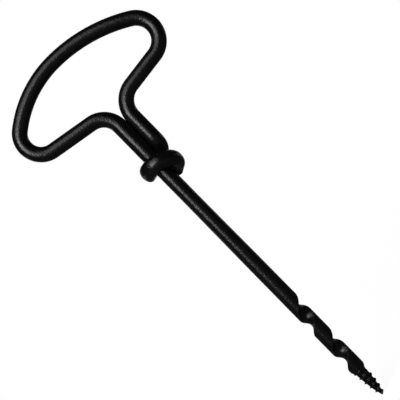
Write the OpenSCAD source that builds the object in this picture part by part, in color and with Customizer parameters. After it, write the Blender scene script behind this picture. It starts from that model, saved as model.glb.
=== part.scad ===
// Gimlet bent from one round steel rod: lead screw, twist, shank, finger loop and binding wrap
// Frame: the point of the lead screw is the origin, the handle is up along +Z
// The loop lies in the XZ plane and its front looks to -Y, all sizes in mm

/* [Whole tool] */
// Length from the point to the top of the handle
total_len = 142.7; // [130:0.1:200]
// Diameter of the rod that the tool is bent from
rod_d = 4.75; // [3.5:0.05:6]
// Clearance between the wound rod and the shank
rod_gap = 0.25; // [0.15:0.05:0.6]
// Clearance between the two legs at the neck
leg_gap = 0.15; // [0.1:0.05:0.6]

/* [Lead screw] */
// Length of the threaded point
screw_len = 11; // [6:0.1:18]
// Diameter of the very point
screw_tip_d = 0.2; // [0.2:0.05:1]
// Bulge of the screw's cone: 1 is straight, less is fuller
screw_bulge = 0.38; // [0.3:0.01:1]
// Rise of the thread in one turn
screw_pitch = 2; // [1:0.05:3]
// Depth of the thread where the screw is thick enough for it
thread_depth = 0.45; // [0.2:0.05:0.7]
// Direction in which the thread leaves the point, in degrees from +X
thread_start = 23; // [0:1:359]
// Length over which the thread fades out below the cutting lip
thread_fade = 1.6; // [0.5:0.1:4]

/* [Twist] */
// Diameter of the hole that the tool bores
bit_d = 5; // [4:0.05:7]
// Width of the cutting lip that stands out around the screw
lip_w = 0.1; // [0.1:0.05:0.6]
// Length of the twisted part
twist_len = 31.5; // [15:0.1:45]
// Rise of the twist in one turn
twist_pitch = 14.45; // [9:0.05:25]
// Direction that the flat faces where the twisted part starts, in degrees from +X
flat_start = 77; // [0:1:359]
// Steel left between the axis and the middle of the flat
flat_h = 0.9; // [0.4:0.05:1.6]
// Radius to which the flat is crowned
flat_crown_r = 6.9; // [4:0.1:20]
// Length over which the flat runs in over the screw
flat_runin = 6; // [1:0.1:6]
// Length over which the flat runs out into the shank
flat_runout = 2.5; // [1:0.1:8]

/* [Shank] */
// How much thicker the shank is forged towards the bit
shank_swell = 0.2; // [0:0.05:0.6]
// Length of the thick cylindrical stretch next to the bit
shank_seat = 16; // [8:0.5:30]
// Length of the slow taper above that stretch
shank_taper = 22; // [5:0.5:30]

/* [Handle loop] */
// Reach of the loop to the left of the shank axis
loop_left = 27.1; // [22:0.1:45]
// Reach of the loop to the right of the shank axis
loop_right = 30.7; // [26:0.1:45]
// Height from the start of the left shoulder bend to the top
loop_h_left = 30.2; // [26:0.1:38]
// Height from the start of the right shoulder bend to the top
loop_h_right = 30.9; // [26:0.1:38]
// Bend radius of the left shoulder, on the rod's centre line
shoulder_left_r = 6.7; // [4:0.1:10]
// Bend radius of the right shoulder
shoulder_right_r = 7.3; // [4:0.1:10]
// Bend radius of the left end of the loop
end_left_r = 6.4; // [4:0.1:9]
// Bend radius of the right end of the loop
end_right_r = 6.9; // [4:0.1:9]
// Depth of the left end's bend centre below the rod's centre line at the crown
end_left_drop = 12.7; // [10:0.1:15]
// Depth of the right end's bend centre below the rod's centre line at the crown
end_right_drop = 12.9; // [10:0.1:15]
// Position of the highest point of the crown along X
crown_x = -0.5; // [-4:0.1:4]

/* [Binding wrap] */
// Length of the right leg between its shoulder and the wrap
neck_len = 8.1; // [4:0.1:18]
// Clear height between the start of the wrap and its pass under that, at the right of the shank
wrap_space = 4.75; // [3.5:0.05:8]
// Height of the pass behind the shank above the left pass
wrap_back = 1.2; // [0.5:0.1:4]
// Height of the pass in front of the shank above the left pass
wrap_front = 0.3; // [-1:0.1:2]
// Depth of the right pass below the left pass
wrap_right = 2.2; // [1.5:0.1:5]
// Clear height between the pass behind the shank and the rod's end
end_space = 1.25; // [1:0.05:5]
// Turn of the rod's end past the right pass, in degrees
wrap_past = 57; // [20:1:100]
// Share by which the rod is flattened where it bends round the shank
wrap_flat = 0.26; // [0:0.01:0.3]
// Share by which the flattened rod spreads along the shank
wrap_spread = 0.14; // [0:0.01:0.3]

/* [Hidden] */
steel = "#232426";
$fn = 48;

rod_r = rod_d / 2;
bit_r = bit_d / 2;
screw_r = bit_r - lip_w;
tip_r = screw_tip_d / 2;

// Levels along the axis
twist_top = screw_len + twist_len;
seat_top = twist_top + shank_seat;
taper_top = seat_top + shank_taper;
leg_end_z = total_len - loop_h_right - neck_len;
wrap_z = leg_end_z - wrap_space - rod_d + wrap_right;
joint_z = wrap_z + wrap_front;

// Points round the screw and rows of points in one turn of its thread
screw_sides = 24;
screw_turn_rows = 16;
screw_rows = ceil(screw_len / screw_pitch * screw_turn_rows);
// Half width of the thread's ridge as a share of its pitch, and its deepest cut as a share of the radius
thread_half = 0.25;
thread_share = 0.45;
// Points on the flat and on the round back of the twist, and rows of points in one turn of it
flat_points = 16;
back_points = 20;
twist_turn_rows = 36;
twist_rows = ceil(twist_len / twist_pitch * twist_turn_rows);
// Points round the wound rod, rings in one quarter turn and the share of a step that gives its heading
wrap_sides = 24;
wrap_steps = 10;
nudge = 0.02;
// Rings of the rod's domed end, its height as a share of the rod's radius and the angle it closes at
dome_steps = 4;
dome_share = 0.55;
dome_turn = 85;
// Length of a curve handle that makes a quarter turn round
quarter = 1.657;

// Faces of a closed skin over rings of points that run anticlockwise about the way the rings go on
function skin_faces(rings, sides) = concat(
    [[for (i = [0 : sides - 1]) i]],
    [for (j = [0 : rings - 2], i = [0 : sides - 1])
        [j * sides + i, (j + 1) * sides + i, (j + 1) * sides + (i + 1) % sides]],
    [for (j = [0 : rings - 2], i = [0 : sides - 1])
        [j * sides + i, (j + 1) * sides + (i + 1) % sides, j * sides + (i + 1) % sides]],
    [[for (i = [sides - 1 : -1 : 0]) (rings - 1) * sides + i]]
);

// Flat of the half-round bar: it turns to the right, runs in over the screw and out under the shank
function smooth(t) = t <= 0 ? 0 : t >= 1 ? 1 : t * t * (3 - 2 * t);
function flat_turn(z) = flat_start + 360 * (z - screw_len) / twist_pitch;
function flat_h_at(z) = flat_h + (bit_r - flat_h)
    * max(smooth((screw_len - z) / flat_runin), smooth((z - twist_top + flat_runout) / flat_runout));
function flat_radius(z, a) = let (c = flat_h_at(z) - flat_crown_r, t = a - flat_turn(z))
    c * cos(t) + sqrt(flat_crown_r * flat_crown_r - pow(c * sin(t), 2));

// Lead screw: a bulging cone whose radius rises along a right-hand helix, cut by the flat above
function fraction(x) = x - floor(x);
function screw_crest(z) = tip_r + (screw_r - tip_r) * pow(z / screw_len, screw_bulge);
function screw_cut(z) = min(thread_depth, thread_share * screw_crest(z))
    * (1 - smooth((z - screw_len + thread_fade) / thread_fade));
function thread_ridge(z, a) =
    max(0, 1 - abs(fraction(z / screw_pitch - (a - thread_start) / 360) - 0.5) / thread_half);
function screw_radius(z, a) =
    min(screw_crest(z) - screw_cut(z) * (1 - thread_ridge(z, a)), flat_radius(z, a));

module lead_screw() {
    points = [
        for (j = [0 : screw_rows], i = [0 : screw_sides - 1])
            let (z = screw_len * j / screw_rows, a = 360 * i / screw_sides, r = screw_radius(z, a))
                [r * cos(a), r * sin(a), z]
    ];
    color(steel)
        polyhedron(points, skin_faces(screw_rows + 1, screw_sides));
}

// Twist: a half-round bar, wound to the right, with points on both edges of its flat
function flat_edge() = let (c = flat_h - flat_crown_r)
    acos((bit_r * bit_r + c * c - flat_crown_r * flat_crown_r) / (2 * bit_r * c));
function twist_angles() = let (e = flat_edge()) concat(
    [for (i = [0 : flat_points]) 2 * e * i / flat_points - e],
    [for (i = [1 : back_points - 1]) e + (360 - 2 * e) * i / back_points]
);

module twist_body() {
    angles = twist_angles();
    points = [
        for (j = [0 : twist_rows], a = angles)
            let (
                z = screw_len + twist_len * j / twist_rows,
                turn = a + flat_turn(z),
                r = min(bit_r, flat_radius(z, turn))
            )
                [r * cos(turn), r * sin(turn), z]
    ];
    color(steel)
        polyhedron(points, skin_faces(twist_rows + 1, len(angles)));
}

// Shank: a turned profile, thick next to the bit and as thick as the rod under the wrap
module shank() {
    low_r = rod_r + shank_swell / 2;
    color(steel)
        rotate_extrude()
            polygon([
                [0, twist_top],
                [low_r, twist_top],
                [low_r, seat_top],
                [rod_r, taper_top],
                [rod_r, joint_z],
                [0, joint_z]
            ]);
}

// Handle loop: bends and straight bars in the XZ plane, each one tangent to its neighbours
right_x = rod_d + leg_gap;
crown_z = total_len - rod_r;
left_end = [rod_r + end_left_r - loop_left, crown_z - end_left_drop];
right_end = [loop_right - rod_r - end_right_r, crown_z - end_right_drop];
left_shoulder = [-shoulder_left_r, total_len - loop_h_left];
right_shoulder = [right_x + shoulder_right_r, total_len - loop_h_right];

// Radius of a crown that is level at its highest point and runs tangent into an end bend
function crown_radius(e, r) = let (across = e.x - crown_x, down = crown_z - e.y)
    (across * across + down * down - r * r) / (2 * (down - r));
crown_left_r = crown_radius(left_end, end_left_r);
crown_right_r = crown_radius(right_end, end_right_r);
crown_left = [crown_x, crown_z - crown_left_r];
crown_right = [crown_x, crown_z - crown_right_r];

// Direction square to the bar that touches a shoulder from above and an end bend from below
function bar_normal(s, e, rs, re, side) =
    let (t = atan2(e.y - s.y, e.x - s.x) - side * asin((rs + re) / norm(e - s)))
        side * [-sin(t), cos(t)];
function bearing(v) = atan2(v.y, v.x);
function unit(v) = v / norm(v);
left_normal = bar_normal(left_shoulder, left_end, shoulder_left_r, end_left_r, -1);
right_normal = bar_normal(right_shoulder, right_end, shoulder_right_r, end_right_r, 1);

// The straight bars and the crown are a hair thinner than the bends beside them and are let into them
hair = 0.02;
lap = 0.3;

module bend(centre, r, from, to, hairs = 0) {
    translate([centre.x, 0, centre.y])
        rotate([90, 0, 0])
            rotate(from)
                rotate_extrude(angle = to - from)
                    translate([r, 0])
                        circle(r = rod_r - hairs * hair);
}

module bar(a, b, lap_a = lap, lap_b = lap) {
    way = unit(b - a);
    start = a - lap_a * way;
    translate([start.x, 0, start.y])
        rotate([0, atan2(way.x, way.y), 0])
            cylinder(r = rod_r - hair, h = norm(b - a) + lap_a + lap_b);
}

// Turn that lets a bend of this radius run on by the lap
function lap_turn(r) = lap / r * 180 / PI;

module handle_loop() {
    left_out = bearing(left_end - crown_left);
    right_out = bearing(right_end - crown_right);
    color(steel) {
        bar([0, joint_z], [0, left_shoulder.y], lap_a = 0);
        bend(left_shoulder, shoulder_left_r, 0, bearing(left_normal));
        bar(left_shoulder + shoulder_left_r * left_normal, left_end - end_left_r * left_normal);
        bend(left_end, end_left_r, left_out, 360 + bearing(-left_normal));
        bend(crown_left, crown_left_r, 90, left_out + lap_turn(crown_left_r), hairs = 1);
        bend(crown_right, crown_right_r, right_out - lap_turn(crown_right_r),
            90 + lap_turn(crown_right_r), hairs = 2);
        bend(right_end, end_right_r, bearing(-right_normal), right_out);
        bar(right_end - end_right_r * right_normal, right_shoulder + shoulder_right_r * right_normal);
        bend(right_shoulder, shoulder_right_r, bearing(right_normal), 180);
        bar([right_x, leg_end_z], [right_x, right_shoulder.y], lap_a = 0);
    }
}

// Binding wrap: the rod's path as turn and height, one knot at each quarter turn round the shank
knots = [
    [0, leg_end_z],
    [90, wrap_z + wrap_back],
    [180, wrap_z],
    [270, wrap_z + wrap_front],
    [360, wrap_z - wrap_right],
    [360 + wrap_past, wrap_z + wrap_back - rod_d - end_space]
];
last = len(knots) - 1;
function leave(i) = i == 0 ? [0, quarter * (knots[1].y - knots[0].y)]
    : i == last ? knots[last] - knots[last - 1]
    : i <= 2 ? knots[i + 1] - knots[i]
    : (knots[i + 1] - knots[i - 1]) / 2;
function arrive(i) = i == 1 ? quarter * leave(1) : leave(i);
function between(p, m, q, n, t) = (2 * t * t * t - 3 * t * t + 1) * p + (t * t * t - 2 * t * t + t) * m
    + (3 * t * t - 2 * t * t * t) * q + (t * t * t - t * t) * n;
function path_at(s) = let (i = min(floor(s), last - 1))
    between(knots[i], leave(i), knots[i + 1], arrive(i + 1), s - i);
function tight_at(turn) = turn > 360 ? 0 : pow(sin(turn / 2), 2);
function thick_at(turn) = rod_r * (1 - wrap_flat * tight_at(turn));
function wide_at(turn) = rod_r * (1 + wrap_spread * tight_at(turn));
function gap_at(turn) = leg_gap + (rod_gap - leg_gap) * smooth(turn / 90);
function centre_at(s) = let (p = path_at(s), r = rod_r + gap_at(p.x) + thick_at(p.x))
    [r * cos(p.x), r * sin(p.x), p.y];
function heading(s) = s <= 0 ? [0, 0, -1]
    : unit(centre_at(min(s + nudge, last)) - centre_at(s - nudge));

// One ring of the rod, flattened against the shank, moved along its heading and shrunk for the dome
function wrap_ring(s, push = 0, shrink = 1) =
    let (
        h = heading(s),
        turn = path_at(s).x,
        e = [cos(turn), sin(turn), 0],
        out = unit(e - h * (e * h)),
        up = cross(h, out),
        c = centre_at(s) + h * push
    )
    [for (i = [0 : wrap_sides - 1])
        let (a = 360 * i / wrap_sides)
            c + shrink * (thick_at(turn) * cos(a) * out + wide_at(turn) * sin(a) * up)];

wrap_rings = [
    for (j = [0 : last * wrap_steps]) wrap_ring(j / wrap_steps),
    for (j = [1 : dome_steps])
        let (a = dome_turn * j / dome_steps)
            wrap_ring(last, dome_share * rod_r * sin(a), cos(a))
];

module binding_wrap() {
    points = [for (ring = wrap_rings, p = ring) p];
    color(steel)
        polyhedron(points, skin_faces(len(wrap_rings), wrap_sides));
}

// Least gap between the wound rod's first half turn and its last one, measured on points of its skin
first_pass = [for (j = [0 : 2 * wrap_steps], p = wrap_rings[j]) p];
last_pass = [for (j = [3 * wrap_steps : len(wrap_rings) - 1], p = wrap_rings[j]) p];
self_gap = min([for (p = first_pass, q = last_pass) norm(p - q)]);
echo(self_gap = self_gap);

lead_screw();
twist_body();
shank();
handle_loop();
binding_wrap();
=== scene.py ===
"""Looks of the gimlet: a blackened steel rod with a lead screw, a twist, a finger loop and a wound neck.

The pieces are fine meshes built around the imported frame, in metres, with the point of the screw at the
origin, the handle up along +Z and the front towards -Y.
"""

import math

import bpy
from mathutils import Matrix, Vector


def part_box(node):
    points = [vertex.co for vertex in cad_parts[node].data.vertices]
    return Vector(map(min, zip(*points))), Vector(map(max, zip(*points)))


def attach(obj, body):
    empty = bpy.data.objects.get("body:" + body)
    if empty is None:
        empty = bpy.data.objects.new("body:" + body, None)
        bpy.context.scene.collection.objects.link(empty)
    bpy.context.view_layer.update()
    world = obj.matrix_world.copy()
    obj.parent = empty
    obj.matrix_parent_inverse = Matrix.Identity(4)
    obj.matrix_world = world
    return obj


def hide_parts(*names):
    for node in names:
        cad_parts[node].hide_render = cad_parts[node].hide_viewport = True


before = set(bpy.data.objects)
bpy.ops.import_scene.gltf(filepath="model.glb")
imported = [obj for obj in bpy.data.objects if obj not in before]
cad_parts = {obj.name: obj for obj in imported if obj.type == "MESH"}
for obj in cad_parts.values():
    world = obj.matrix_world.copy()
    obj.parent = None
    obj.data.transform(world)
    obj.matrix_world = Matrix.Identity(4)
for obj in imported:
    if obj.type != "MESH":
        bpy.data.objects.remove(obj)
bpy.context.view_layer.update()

MM = 0.001
BODY = "root"

# Sizes that the frame gives
screw_low, screw_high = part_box("lead_screw")
twist_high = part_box("twist_body")[1]
shank_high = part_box("shank")[1]
loop_low, loop_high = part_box("handle_loop")
wrap_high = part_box("binding_wrap")[1]
screw_len = screw_high.z
screw_r = -screw_low.x
twist_top = twist_high.z
bit_r = twist_high.x
seat_r = shank_high.x
joint_z = shank_high.z
rod_r = loop_high.y
leg_end_z = wrap_high.z
crown_z = loop_high.z - rod_r

# Lead screw and twist
TIP_R = 0.1 * MM
TIP_ROUND = 0.25 * MM
SCREW_BULGE = 0.38
SCREW_PITCH = 2.0 * MM
THREAD_START = math.radians(23)
THREAD_DEPTH = 0.45 * MM
THREAD_SHARE = 0.45
THREAD_HALF = 0.22
THREAD_FADE = 1.6 * MM
TWIST_PITCH = 14.45 * MM
FLAT_START = math.radians(77)
FLAT_FLOOR = 0.9 * MM
FLAT_CROWN_R = 6.9 * MM
FLAT_RUNIN = 6.0 * MM
FLAT_RUNOUT = 2.5 * MM
FLAT_EDGE = 0.10 * MM
LIP_BEVEL = 0.10 * MM
TWIST_BLEND = 3.0 * MM

# Shank
SHANK_SEAT = 16.0 * MM
SHANK_TAPER = 22.0 * MM

# Finger loop, on the rod's centre line
LEG_GAP = 0.15 * MM
LEG_PRESS = 0.02 * MM
SHOULDER_LEFT_R = 6.7 * MM
SHOULDER_RIGHT_R = 7.3 * MM
SHOULDER_LEFT_DROP = 30.2 * MM
SHOULDER_RIGHT_DROP = 30.9 * MM
END_LEFT_R = 6.4 * MM
END_RIGHT_R = 6.9 * MM
END_LEFT_DROP = 12.7 * MM
END_RIGHT_DROP = 12.9 * MM
CROWN_X = -0.5 * MM

# Binding wrap
ROD_GAP = 0.22 * MM
WRAP_SPACE = 4.75 * MM
WRAP_BACK = 1.2 * MM
WRAP_FRONT = 0.3 * MM
WRAP_RIGHT = 2.2 * MM
END_SPACE = 1.25 * MM
WRAP_PAST = 57
WRAP_FLAT = 0.26
WRAP_SPREAD = 0.14
BALL_SPREAD = 0.18
BALL_DROP = 0.5 * MM
QUARTER = 1.657
DOME_SHARE = 0.55
WRAP_INNER = 2.45 * MM
TAIL_SLIM = 0.02

# Fineness of the meshes, as sides of a ring and as the space between rings
ROD_SIDES = 64
RING_STEP = 0.45 * MM
SCREW_SIDES = 96
SCREW_STEP = 0.06 * MM
TWIST_SIDES = 144
TWIST_STEP = 0.15 * MM
WRAP_STEPS = 36
DOME_STEPS = 8


def smooth(t):
    """Eases from 0 to 1 with level ends."""
    t = min(1.0, max(0.0, t))
    return t * t * (3 - 2 * t)


def mix(a, b, t):
    """The value at t on the way from a to b."""
    return a + (b - a) * t


def skin(name, rings, wear=None):
    """A closed mesh over rings of points that run anticlockwise about the way that the rings go on."""
    sides = len(rings[0])
    points = [p for ring in rings for p in ring]
    faces = [tuple(reversed(range(sides)))]
    for j in range(len(rings) - 1):
        low = j * sides
        high = low + sides
        for i in range(sides):
            k = (i + 1) % sides
            faces.append((low + i, low + k, high + k, high + i))
    faces.append(tuple(range(len(points) - sides, len(points))))
    mesh = bpy.data.meshes.new(name)
    mesh.from_pydata(points, [], faces)
    mesh.shade_smooth()
    mesh.set_sharp_from_angle(angle=math.radians(50))
    shade = mesh.attributes.new("wear", "FLOAT", "POINT")
    if wear is not None:
        shade.data.foreach_set("value", [w for row in wear for w in row])
    piece = bpy.data.objects.new(name, mesh)
    bpy.context.scene.collection.objects.link(piece)
    return piece


def steps(low, high, step):
    """Evenly spaced values from low to high, both included."""
    count = max(1, math.ceil((high - low) / step))
    return [mix(low, high, i / count) for i in range(count + 1)]


def around(sides):
    """Evenly spaced angles of one turn."""
    return [2 * math.pi * i / sides for i in range(sides)]


# Lead screw and twist
def flat_turn(z):
    """Direction that the flat of the twist faces at a height."""
    return FLAT_START + 2 * math.pi * (z - screw_len) / TWIST_PITCH


def flat_floor(z):
    """Distance of the flat from the axis: it runs in over the screw and out under the shank."""
    run_in = smooth((screw_len - z) / FLAT_RUNIN)
    run_out = smooth((z - twist_top + FLAT_RUNOUT) / FLAT_RUNOUT)
    return mix(FLAT_FLOOR, bit_r, max(run_in, run_out))


def flat_radius(z, angle):
    """Radius at which a ray from the axis meets the crowned flat."""
    centre = flat_floor(z) - FLAT_CROWN_R
    turn = angle - flat_turn(z)
    return centre * math.cos(turn) + math.sqrt(FLAT_CROWN_R ** 2 - (centre * math.sin(turn)) ** 2)


def rounded_min(a, b, size):
    """The lesser of two radii, with the edge between them rounded off."""
    share = max(0.0, size - abs(a - b)) / size
    return min(a, b) - share * share * size / 4


def screw_crest(z):
    """Radius over the thread, a cone that bulges."""
    return TIP_R + (screw_r - TIP_R) * (max(0.0, z) / screw_len) ** SCREW_BULGE


def thread_ridge(z, angle):
    """1 on the crest of the right-hand thread and 0 at its root."""
    share = z / SCREW_PITCH - (angle - THREAD_START) / (2 * math.pi)
    off = abs(share - math.floor(share) - 0.5)
    return smooth(1 - off / THREAD_HALF)


def make_lead_screw():
    rings = []
    wear = []
    for z in steps(0, screw_len, SCREW_STEP):
        crest = screw_crest(z)
        fade = 1 - smooth((z - screw_len + THREAD_FADE) / THREAD_FADE)
        depth = min(THREAD_DEPTH, THREAD_SHARE * crest) * fade
        point = math.sqrt(1 - (1 - min(1.0, (z + 0.02 * MM) / TIP_ROUND)) ** 2)
        ring = []
        row = []
        for a in around(SCREW_SIDES):
            ridge = thread_ridge(z, a)
            r = rounded_min(crest - depth * (1 - ridge), flat_radius(z, a), FLAT_EDGE) * point
            ring.append((r * math.cos(a), r * math.sin(a), z))
            row.append(smooth((ridge - 0.8) / 0.2) * fade)
        rings.append(ring)
        wear.append(row)
    return skin("lead_screw_thread", rings, wear)


def land_radius(z):
    """Radius over the lands: bevelled at the cutting lip and eased into the shank at the top."""
    bevel = LIP_BEVEL * (1 - smooth((z - screw_len) / LIP_BEVEL))
    ease = smooth((z - twist_top + TWIST_BLEND) / TWIST_BLEND)
    return mix(bit_r, seat_r, ease) - bevel


def make_twist_body():
    rings = []
    wear = []
    foot = steps(screw_len, screw_len + LIP_BEVEL, LIP_BEVEL / 4)
    for z in foot + steps(screw_len + LIP_BEVEL, twist_top, TWIST_STEP)[1:]:
        land = land_radius(z)
        ring = []
        row = []
        for a in around(TWIST_SIDES):
            turned = a + flat_turn(z)
            found = flat_radius(z, turned)
            r = rounded_min(land, found, FLAT_EDGE)
            ring.append((r * math.cos(turned), r * math.sin(turned), z))
            row.append(smooth(1 - abs(land - found) / (3 * FLAT_EDGE)))
        rings.append(ring)
        wear.append(row)
    return skin("twist_flute", rings, wear)


# Shank
def shank_radius(z):
    """Radius of the shank: thick next to the bit, then a slow taper to the rod."""
    return mix(seat_r, rod_r, min(1.0, max(0.0, (z - twist_top - SHANK_SEAT) / SHANK_TAPER)))


def make_shank():
    rings = []
    for z in steps(twist_top, joint_z, RING_STEP):
        r = shank_radius(z)
        rings.append([(r * math.cos(a), r * math.sin(a), z) for a in around(ROD_SIDES)])
    return skin("shank_rod", rings)


# Finger loop: points of the centre line in the plane of the loop, as (x, z)
right_x = 2 * rod_r + LEG_GAP
neck_r = right_x / 2 + LEG_PRESS


def bearing(v):
    return math.atan2(v.y, v.x)


def unit_at(angle):
    return Vector((math.cos(angle), math.sin(angle)))


def bar_normal(shoulder, end, shoulder_r, end_r, side):
    """Direction square to the bar that touches a shoulder from above and an end bend from below."""
    way = end - shoulder
    turn = bearing(way) - side * math.asin((shoulder_r + end_r) / way.length)
    return side * Vector((-math.sin(turn), math.cos(turn)))


def crown_radius(end, end_r):
    """Radius of a crown that is level at its highest point and runs tangent into an end bend."""
    across = end.x - CROWN_X
    down = crown_z - end.y
    return (across ** 2 + down ** 2 - end_r ** 2) / (2 * (down - end_r))


def arc(centre, radius, start, stop):
    """Points of an arc with the directions that the rod runs there."""
    count = max(2, math.ceil(abs(stop - start) * radius / RING_STEP))
    angles = [mix(start, stop, i / count) for i in range(count + 1)]
    sense = 1 if stop > start else -1
    return [(centre + radius * unit_at(a), sense * unit_at(a + math.pi / 2)) for a in angles]


def loop_line():
    """The rod's centre line from the shank round the loop and down the right leg, as points and ways."""
    left_shoulder = Vector((-SHOULDER_LEFT_R, loop_high.z - SHOULDER_LEFT_DROP))
    right_shoulder = Vector((right_x + SHOULDER_RIGHT_R, loop_high.z - SHOULDER_RIGHT_DROP))
    left_end = Vector((loop_low.x + rod_r + END_LEFT_R, crown_z - END_LEFT_DROP))
    right_end = Vector((loop_high.x - rod_r - END_RIGHT_R, crown_z - END_RIGHT_DROP))
    left_normal = bar_normal(left_shoulder, left_end, SHOULDER_LEFT_R, END_LEFT_R, -1)
    right_normal = bar_normal(right_shoulder, right_end, SHOULDER_RIGHT_R, END_RIGHT_R, 1)
    left_r = crown_radius(left_end, END_LEFT_R)
    right_r = crown_radius(right_end, END_RIGHT_R)
    left_crown = Vector((CROWN_X, crown_z - left_r))
    right_crown = Vector((CROWN_X, crown_z - right_r))
    left_out = bearing(left_end - left_crown)
    right_out = bearing(right_end - right_crown)
    up = Vector((0, 1))
    turns = [
        arc(left_shoulder, SHOULDER_LEFT_R, 0, bearing(left_normal)),
        arc(left_end, END_LEFT_R, 2 * math.pi + bearing(-left_normal), left_out),
        arc(left_crown, left_r, left_out, math.pi / 2),
        arc(right_crown, right_r, math.pi / 2, right_out),
        arc(right_end, END_RIGHT_R, right_out, bearing(-right_normal)),
        arc(right_shoulder, SHOULDER_RIGHT_R, bearing(right_normal), math.pi),
    ]
    line = [(Vector((0, joint_z)), up)]
    for turn in turns + [[(Vector((right_x, leg_end_z)), -up)]]:
        start, way = line[-1]
        reach = (turn[0][0] - start).length
        spaces = max(1, math.ceil(reach / RING_STEP))
        line += [(start.lerp(turn[0][0], i / spaces), turn[0][1]) for i in range(1, spaces)]
        line += turn if reach > RING_STEP / 10 else turn[1:]
    return line


shoulder_z = loop_high.z - SHOULDER_LEFT_DROP


def leg_radius(p):
    """Radius of the rod: the loop's, and a little more in the two legs, which touch at the neck."""
    high = smooth((p.y - shoulder_z) / SHOULDER_LEFT_R)
    low = 1 - smooth((p.y - joint_z) / (2 * rod_r)) if p.x < rod_r else 0.0
    return mix(neck_r, rod_r, max(high, low))


def make_handle_loop():
    rings = []
    for p, way in loop_line():
        r = leg_radius(p)
        aside = Vector((way.y, -way.x))
        ring = []
        for a in around(ROD_SIDES):
            flat = p + r * math.cos(a) * aside
            if p.y < shoulder_z:
                flat.x = min(flat.x, right_x / 2) if p.x < right_x / 2 else max(flat.x, right_x / 2)
            ring.append((flat.x, r * math.sin(a), flat.y))
        rings.append(ring)
    return skin("handle_loop_rod", rings)


# Binding wrap: the rod's path as turn in degrees and height, one knot at each quarter turn round the shank
wrap_z = leg_end_z - WRAP_SPACE - 2 * rod_r + WRAP_RIGHT
KNOTS = [
    Vector((0, leg_end_z)),
    Vector((90, wrap_z + WRAP_BACK)),
    Vector((180, wrap_z)),
    Vector((270, wrap_z + WRAP_FRONT)),
    Vector((360, wrap_z - WRAP_RIGHT)),
    Vector((360 + WRAP_PAST, wrap_z + WRAP_BACK - 2 * rod_r - END_SPACE)),
]
LAST = len(KNOTS) - 1


def leave(i):
    """Way in which the path leaves a knot."""
    if i == 0:
        return Vector((0, QUARTER * (KNOTS[1].y - KNOTS[0].y)))
    if i == LAST:
        return KNOTS[LAST] - KNOTS[LAST - 1]
    if i <= 2:
        return KNOTS[i + 1] - KNOTS[i]
    return (KNOTS[i + 1] - KNOTS[i - 1]) / 2


def path_at(s):
    """Turn and height at a place on the path, counted in knots."""
    i = min(math.floor(s), LAST - 1)
    t = s - i
    arrive = QUARTER * leave(1) if i == 0 else leave(i + 1)
    return (
        (2 * t ** 3 - 3 * t ** 2 + 1) * KNOTS[i]
        + (t ** 3 - 2 * t ** 2 + t) * leave(i)
        + (3 * t ** 2 - 2 * t ** 3) * KNOTS[i + 1]
        + (t ** 3 - t ** 2) * arrive
    )


def tightness(turn):
    """1 where the rod is pressed flattest against the shank, 0 in the leg and in the tail."""
    return 0.0 if turn > 360 else math.sin(math.radians(turn) / 2) ** 2


def ball(turn):
    """1 where the rod is hammered into a ball at the right of the shank, 0 at the front and at the end."""
    return smooth((turn - 275) / 50) * (1 - smooth((turn - 365) / 50))


def wrap_section(turn):
    """Centre radius, half thickness and half width of the rod where it is wound round the shank."""
    fresh = (neck_r - rod_r) * (1 - smooth(turn / 60))
    gap = mix(LEG_GAP, ROD_GAP, smooth(turn / 90))
    thick = 1 - WRAP_FLAT * tightness(turn)
    outer = rod_r + gap + 2 * rod_r * thick + fresh
    inner = mix(right_x / 2, WRAP_INNER, smooth(turn / 60))
    tail = 1 - TAIL_SLIM * smooth((turn - 360) / WRAP_PAST)
    wide = rod_r * (1 + WRAP_SPREAD * tightness(turn) + BALL_SPREAD * ball(turn)) + fresh
    return (outer + inner) / 2, tail * (outer - inner) / 2, tail * wide


def wrap_centre(s):
    turn, z = path_at(s)
    r = wrap_section(turn)[0]
    angle = math.radians(turn)
    return Vector((r * math.cos(angle), r * math.sin(angle), z - BALL_DROP * ball(turn)))


def wrap_ring(s, push=0.0, shrink=1.0):
    """One ring of the wound rod, moved along its heading and shrunk for the dome of its end."""
    nudge = 0.02
    heading = Vector((0, 0, -1))
    if s > 0:
        heading = (wrap_centre(min(s + nudge, LAST)) - wrap_centre(s - nudge)).normalized()
    turn = path_at(s)[0]
    angle = math.radians(turn)
    ray = Vector((math.cos(angle), math.sin(angle), 0))
    out = (ray - heading * ray.dot(heading)).normalized()
    side = heading.cross(out)
    centre = wrap_centre(s) + heading * push
    _, thick, wide = wrap_section(turn)
    return [
        centre + shrink * (thick * math.cos(a) * out + wide * math.sin(a) * side)
        for a in around(ROD_SIDES)
    ]


def make_binding_wrap():
    rings = [wrap_ring(j / WRAP_STEPS) for j in range(LAST * WRAP_STEPS + 1)]
    for j in range(1, DOME_STEPS + 1):
        a = math.radians(86) * j / DOME_STEPS
        rings.append(wrap_ring(LAST, DOME_SHARE * rod_r * math.sin(a), math.cos(a)))
    return skin("binding_wrap_rod", rings)


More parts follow.
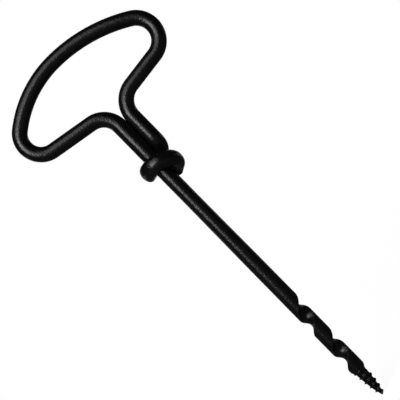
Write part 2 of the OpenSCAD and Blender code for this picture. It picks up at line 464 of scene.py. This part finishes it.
# Materials
def steel(name, colour, sheen):
    """Blackened steel: cloudy tone, a fine grain, soft waves along the rod and paler worn edges."""
    material = bpy.data.materials.new(name)
    material.use_nodes = True
    nodes = material.node_tree.nodes
    links = material.node_tree.links
    shader = nodes["Principled BSDF"]
    shader.inputs["Specular IOR Level"].default_value = sheen
    place = nodes.new("ShaderNodeTexCoord").outputs["Object"]

    def noise(size, detail):
        """A cloud of soft spots of about that size."""
        node = nodes.new("ShaderNodeTexNoise")
        node.inputs["Scale"].default_value = 1 / size
        node.inputs["Detail"].default_value = detail
        links.new(place, node.inputs["Vector"])
        return node.outputs["Fac"]

    def ramp(source, low, high):
        """Spreads the middle of a noise over a range of values."""
        node = nodes.new("ShaderNodeMapRange")
        node.inputs["From Min"].default_value = 0.3
        node.inputs["From Max"].default_value = 0.7
        node.inputs["To Min"].default_value = low
        node.inputs["To Max"].default_value = high
        links.new(source, node.inputs["Value"])
        return node.outputs["Result"]

    def blend(share, a, b):
        """Mixes two colours, each given as numbers or as a socket."""
        node = nodes.new("ShaderNodeMix")
        node.data_type = "RGBA"
        links.new(share, node.inputs["Factor"])
        for socket, value in ((node.inputs[6], a), (node.inputs[7], b)):
            if isinstance(value, tuple):
                socket.default_value = (*value, 1)
            else:
                links.new(value, socket)
        return node.outputs[2]

    clouds = noise(5 * MM, 3)
    grain = noise(0.6 * MM, 2)
    waves = noise(7 * MM, 1)
    worn = nodes.new("ShaderNodeAttribute")
    worn.attribute_name = "wear"
    scuffed = nodes.new("ShaderNodeMath")
    scuffed.operation = "MULTIPLY"
    links.new(worn.outputs["Fac"], scuffed.inputs[0])
    links.new(ramp(noise(0.9 * MM, 2), 0.0, 0.7), scuffed.inputs[1])

    dark = tuple(0.6 * c for c in colour)
    pale = tuple(1.5 * c for c in colour)
    bare = (0.035, 0.036, 0.037)
    tone = blend(ramp(clouds, 0.0, 1.0), dark, pale)
    links.new(blend(scuffed.outputs[0], tone, bare), shader.inputs["Base Color"])
    links.new(ramp(noise(1.2 * MM, 3), 0.21, 0.29), shader.inputs["Roughness"])

    fine = nodes.new("ShaderNodeBump")
    fine.inputs["Strength"].default_value = 0.9
    fine.inputs["Distance"].default_value = 0.09 * MM
    links.new(grain, fine.inputs["Height"])
    broad = nodes.new("ShaderNodeBump")
    broad.inputs["Strength"].default_value = 0.6
    broad.inputs["Distance"].default_value = 0.12 * MM
    links.new(waves, broad.inputs["Height"])
    links.new(fine.outputs["Normal"], broad.inputs["Normal"])
    links.new(broad.outputs["Normal"], shader.inputs["Normal"])
    return material


rod_steel = steel("rod_steel", (0.0020, 0.0021, 0.0022), 0.34)
bit_steel = steel("bit_steel", (0.0020, 0.0021, 0.0022), 0.30)

PIECES = [
    (make_lead_screw(), "lead_screw", "bit_steel", bit_steel),
    (make_twist_body(), "twist_body", "bit_steel", bit_steel),
    (make_shank(), "shank", "rod_steel", rod_steel),
    (make_handle_loop(), "handle_loop", "rod_steel", rod_steel),
    (make_binding_wrap(), "binding_wrap", "rod_steel", rod_steel),
]
for piece, node, slot, material in PIECES:
    piece.data.materials.append(material)
    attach(piece, BODY)
    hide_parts(node)


# Stage: where mirrored rays start to see the white backdrop, as a direction and as metres behind the
# tool, and the distance over which the floor fades into it
BACKDROP_EDGE = (0.75, 1.0)
FLOOR_EDGE = (0.3, 1.2)
FLOOR_FADE = (0.0, 0.8)


def ease(tree, value, low, high, start=0.0, stop=1.0):
    """Goes from start to stop while a value goes from low to high."""
    node = tree.nodes.new("ShaderNodeMapRange")
    node.inputs["From Min"].default_value = low
    node.inputs["From Max"].default_value = high
    node.inputs["To Min"].default_value = start
    node.inputs["To Max"].default_value = stop
    tree.links.new(value, node.inputs["Value"])
    return node.outputs["Result"]


def sums(tree, operation, a, b):
    """One step of arithmetic on two values of a node tree."""
    node = tree.nodes.new("ShaderNodeMath")
    node.operation = operation
    tree.links.new(a, node.inputs[0])
    if isinstance(b, float):
        node.inputs[1].default_value = b
    else:
        tree.links.new(b, node.inputs[1])
    return node.outputs[0]


def backdrop_seen(tree, behind):
    """1 for camera rays, and for mirrored and transmitted rays that reach the backdrop behind the tool."""
    path = tree.nodes.new("ShaderNodeLightPath").outputs
    mirrored = sums(tree, "MAXIMUM", path["Is Glossy Ray"], path["Is Transmission Ray"])
    return sums(tree, "MAXIMUM", path["Is Camera Ray"], sums(tree, "MULTIPLY", mirrored, behind))


def make_world(level):
    """A white backdrop behind the tool for the rays that see it, and a soft light from all sides."""
    world = bpy.data.worlds.new("studio")
    world.use_nodes = True
    tree = world.node_tree
    way = tree.nodes.new("ShaderNodeSeparateXYZ")
    tree.links.new(tree.nodes.new("ShaderNodeTexCoord").outputs["Generated"], way.inputs[0])
    seen = backdrop_seen(tree, ease(tree, way.outputs["Y"], *BACKDROP_EDGE))
    background = tree.nodes["Background"]
    background.inputs["Color"].default_value = (1, 1, 1, 1)
    tree.links.new(ease(tree, seen, 0.0, 1.0, level, 1.0), background.inputs["Strength"])
    bpy.context.scene.world = world


def make_floor(reach, near, far):
    """A pale floor under the point, which glows into the backdrop, so that only the shadow is darker."""
    mesh = bpy.data.meshes.new("floor")
    mesh.from_pydata(
        [(-reach, -reach, 0), (reach, -reach, 0), (reach, reach, 0), (-reach, reach, 0)],
        [], [(0, 1, 2, 3)])
    floor = bpy.data.objects.new("floor", mesh)
    floor.location.z = -0.01 * MM
    bpy.context.scene.collection.objects.link(floor)
    material = bpy.data.materials.new("floor_white")
    material.use_nodes = True
    tree = material.node_tree
    shader = tree.nodes["Principled BSDF"]
    shader.inputs["Base Color"].default_value = (0.2, 0.2, 0.2, 1)
    shader.inputs["Roughness"].default_value = 0.9
    shader.inputs["Specular IOR Level"].default_value = 0.0
    shader.inputs["Emission Color"].default_value = (1, 1, 1, 1)
    place = tree.nodes.new("ShaderNodeTexCoord").outputs["Object"]
    spot = tree.nodes.new("ShaderNodeSeparateXYZ")
    tree.links.new(place, spot.inputs[0])
    away = tree.nodes.new("ShaderNodeVectorMath")
    away.operation = "LENGTH"
    tree.links.new(place, away.inputs[0])
    seen = backdrop_seen(tree, ease(tree, spot.outputs["Y"], *FLOOR_EDGE))
    glow = ease(tree, away.outputs["Value"], *FLOOR_FADE, near, far)
    tree.links.new(sums(tree, "MULTIPLY", seen, glow), shader.inputs["Emission Strength"])
    mesh.materials.append(material)


def make_lamp(name, place, target, size, power):
    """A square soft light that looks at a point."""
    data = bpy.data.lights.new(name, "AREA")
    data.shape = "SQUARE"
    data.size = size
    data.energy = power
    lamp = bpy.data.objects.new(name, data)
    lamp.location = place
    lamp.rotation_mode = "QUATERNION"
    lamp.rotation_quaternion = (target - place).to_track_quat("-Z", "Y")
    bpy.context.scene.collection.objects.link(lamp)


def make_camera(target, width, roll, lens):
    """A long lens that looks along +Y, rolled so that the tool runs down to the right as photographed."""
    data = bpy.data.cameras.new("camera")
    data.lens = lens
    camera = bpy.data.objects.new("camera", data)
    away = width * lens / data.sensor_width
    right = Vector((math.cos(roll), 0, -math.sin(roll)))
    up = Vector((math.sin(roll), 0, math.cos(roll)))
    back = Vector((0, -1, 0))
    turned = Matrix((right, up, back)).transposed().to_4x4()
    camera.matrix_world = Matrix.Translation(target + away * back) @ turned
    bpy.context.scene.collection.objects.link(camera)
    bpy.context.scene.camera = camera


# The photograph's view, and two soft lamps at the left of it
VIEW_CENTRE = Vector((1.63, 0, 79.92)) * MM
make_camera(VIEW_CENTRE, width=120 * MM, roll=math.radians(44.52), lens=75)
LAMP_AIM = Vector((0, 0, 80)) * MM
make_world(level=0.03)
make_floor(reach=8, near=0.92, far=1.0)
make_lamp("softbox", Vector((-200, -610, 540)) * MM, LAMP_AIM, size=700 * MM, power=3.4)
make_lamp("window", Vector((-750, -1370, 460)) * MM, LAMP_AIM, size=750 * MM, power=14.0)

bpy.context.scene.view_settings.view_transform = "Standard"
